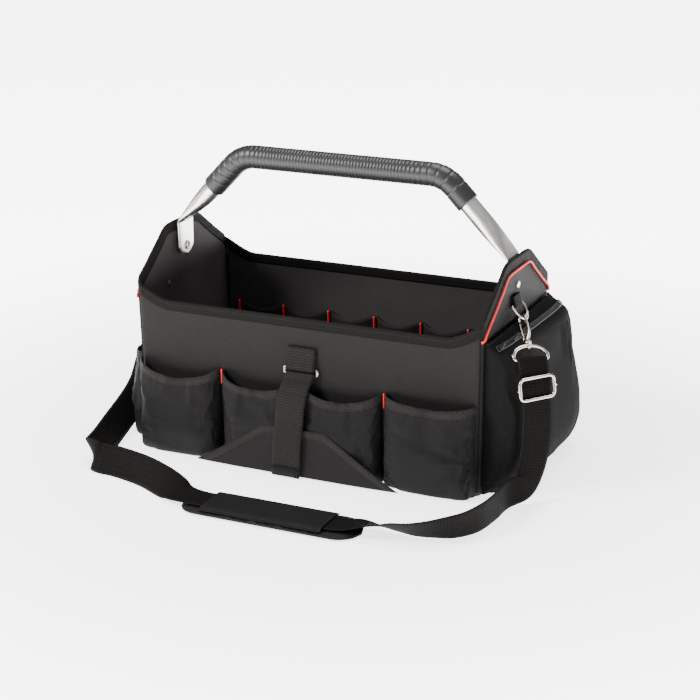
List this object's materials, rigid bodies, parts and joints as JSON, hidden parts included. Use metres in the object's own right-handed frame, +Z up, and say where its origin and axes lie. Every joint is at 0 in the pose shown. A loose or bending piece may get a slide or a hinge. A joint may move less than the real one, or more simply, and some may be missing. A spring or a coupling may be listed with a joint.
{
  "type": "tool_bag",
  "caption": "Open-top cloth tool tote with fold-down aluminium tube handle, front and end pockets, red piping, webbing shoulder strap and pad",
  "frame": {"origin": "middle of the underside of the base", "axes": "+Z up, +X to the right along the long front wall, which faces -Y; the shoulder strap lies on the floor in front"},
  "size_m": [0.6377, 0.4336, 0.3895],
  "materials": {
    "cloth": "woven matt",
    "webbing": "ribbed matt",
    "red_trim": "satin",
    "tube": "brushed",
    "grip": "satin ribbed",
    "nickel": "plated",
    "zipper": "glossy"
  },
  "bodies": {
    "bag": {"front_panel": "cloth", "back_panel": "cloth", "left_end_panel": "cloth", "right_end_panel": "cloth", "base_panel": "cloth", "front_pocket_1": "cloth", "front_pocket_2": "cloth", "front_pocket_3": "cloth", "front_pocket_4": "cloth", "front_flap_pocket": "cloth", "inner_pocket_row": "cloth", "left_end_pocket": "cloth", "right_end_pocket": "cloth", "front_label": "cloth", "shoulder_pad": "cloth", "shoulder_pad_cover": "cloth", "rim_binding": "webbing", "back_left_seam_tape": "webbing", "back_right_seam_tape": "webbing", "front_left_seam_tape": "webbing", "front_right_seam_tape": "webbing", "front_strap_loop": "webbing", "front_strap": "webbing", "left_ring_webbing": "webbing", "right_ring_webbing": "webbing", "shoulder_strap": "webbing", "left_red_piping": "red_trim", "right_red_piping": "red_trim", "front_red_tab_1": "red_trim", "front_red_tab_2": "red_trim", "inner_red_tab_1": "red_trim", "inner_red_tab_2": "red_trim", "inner_red_tab_3": "red_trim", "inner_red_tab_4": "red_trim", "inner_red_tab_5": "red_trim", "inner_red_tab_6": "red_trim", "inner_red_tab_7": "red_trim", "left_handle_rivet": "nickel", "right_handle_rivet": "nickel", "small_rivet_1": "nickel", "small_rivet_2": "nickel", "front_strap_ring": "nickel", "left_d_ring": "nickel", "right_d_ring": "nickel", "left_snap_hook": "nickel", "right_snap_hook": "nickel", "left_strap_loop": "nickel", "right_strap_loop": "nickel", "adjuster_slide": "nickel", "zipper_pull_1": "nickel", "zipper_pull_2": "nickel", "end_pocket_zipper": "zipper"},
    "handle": {"handle_tube": "tube", "handle_grip": "grip"},
    "gate": {"hook_gate": "nickel"}
  },
  "joints": [
    {"name": "handle_swing", "type": "hinge", "parent": "bag", "child": "handle", "pos_m": [0, 0, 0.243], "axis": [1, 0, 0], "range_deg": [-97, 97]},
    {"name": "hook_gate_hinge", "type": "hinge", "parent": "bag", "child": "gate", "pos_m": [0.27523, -0.06133, 0.1907], "axis": [0.526, 0.5277, -0.667], "range_deg": [0, 10], "stiffness_Nm_per_rad": 0.02}
  ]
}
